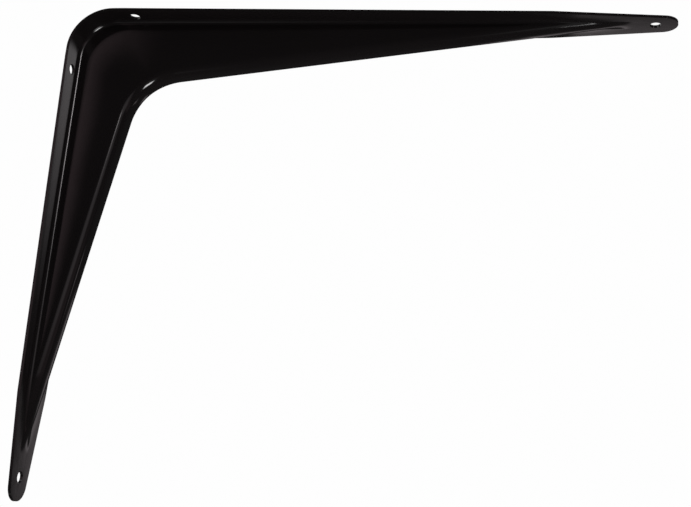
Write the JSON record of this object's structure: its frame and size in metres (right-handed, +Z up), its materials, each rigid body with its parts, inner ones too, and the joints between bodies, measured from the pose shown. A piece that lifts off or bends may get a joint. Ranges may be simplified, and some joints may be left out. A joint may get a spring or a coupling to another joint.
{
  "type": "shelf bracket",
  "caption": "Pressed-steel shelf bracket: a right-angled strip with a deep hollow rib and screw holes for wall and shelf.",
  "frame": {"origin": "on the wall plane, midway between the two upper wall screw holes", "axes": "+X out from the wall along the shelf arm, +Y across the bracket, +Z up towards the shelf"},
  "size_m": [0.254, 0.0342, 0.203],
  "materials": {
    "black_paint": "gloss"
  },
  "bodies": {
    "root": {"shelf_bracket": "black_paint"}
  },
  "joints": []
}
